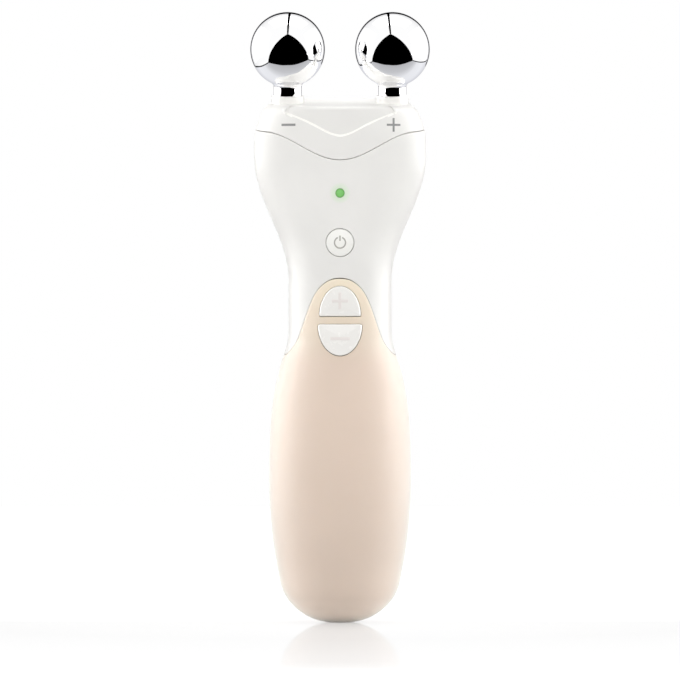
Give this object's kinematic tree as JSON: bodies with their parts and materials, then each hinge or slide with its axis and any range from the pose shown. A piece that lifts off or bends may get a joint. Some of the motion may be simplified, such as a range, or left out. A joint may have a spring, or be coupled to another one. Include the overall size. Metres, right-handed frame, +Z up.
{
  "type": "facial toning device",
  "caption": "Handheld facial toning device with a waisted soft-grip handle, press keys and a pull-off head carrying chromed ball electrodes.",
  "frame": {"origin": "centre of the small flat foot, at the bottom of the grip", "axes": "+Z up the handle to the head, -Y out of the face with the keys, +X to the right when looking at that face"},
  "size_m": [0.0514, 0.0361, 0.1752],
  "materials": {
    "shell_white": "satin",
    "key_white": "gloss",
    "grip_cream": "soft matte",
    "chrome": "mirror",
    "lens_green": "translucent",
    "board_green": "solder mask",
    "chip_black": "matte",
    "steel": "plated",
    "gold": "gold plated",
    "seal_grey": "matte",
    "inner_plastic": "moulded",
    "cell_wrap": "shrink film",
    "lead_red": "insulation"
  },
  "bodies": {
    "handle": {"front_housing": "shell_white", "rear_housing": "shell_white", "front_grip": "grip_cream", "rear_grip": "grip_cream", "indicator_lens": "lens_green", "status_led": "lens_green", "main_board": "board_green", "board_chips": "chip_black", "key_switches": "steel", "buzzer": "chip_black", "battery_cell": "cell_wrap", "battery_tabs": "steel", "battery_cradle": "inner_plastic", "battery_leads": "lead_red", "charge_pins": "gold", "charge_board": "board_green", "housing_screws": "steel", "socket_deck": "inner_plastic", "socket_gasket": "seal_grey", "spring_pins": "gold", "contact_board": "board_green", "contact_leads": "lead_red"},
    "head": {"head_cap": "shell_white", "head_base": "inner_plastic", "head_screws": "steel", "contact_strips": "gold", "contact_pads": "gold", "left_ball": "chrome", "right_ball": "chrome", "left_stem": "chrome", "right_stem": "chrome", "stem_nuts": "steel", "stem_seals": "seal_grey"},
    "power": {"power_key": "key_white", "power_plunger": "chip_black"},
    "plus": {"plus_key": "key_white", "plus_plunger": "chip_black"},
    "minus": {"minus_key": "key_white", "minus_plunger": "chip_black"}
  },
  "joints": [
    {"name": "power_press", "type": "slide", "parent": "handle", "child": "power", "axis": [0, 1, 0], "range_m": [0, 0.0006], "stiffness_N_per_m": 900},
    {"name": "plus_press", "type": "slide", "parent": "handle", "child": "plus", "axis": [0, 1, 0], "range_m": [0, 0.0006], "stiffness_N_per_m": 900},
    {"name": "minus_press", "type": "slide", "parent": "handle", "child": "minus", "axis": [0, 1, 0], "range_m": [0, 0.0006], "stiffness_N_per_m": 900},
    {"name": "head_pull_off", "type": "slide", "parent": "handle", "child": "head", "axis": [0, -0.1478, 0.989], "range_m": [0, 0.024]}
  ]
}
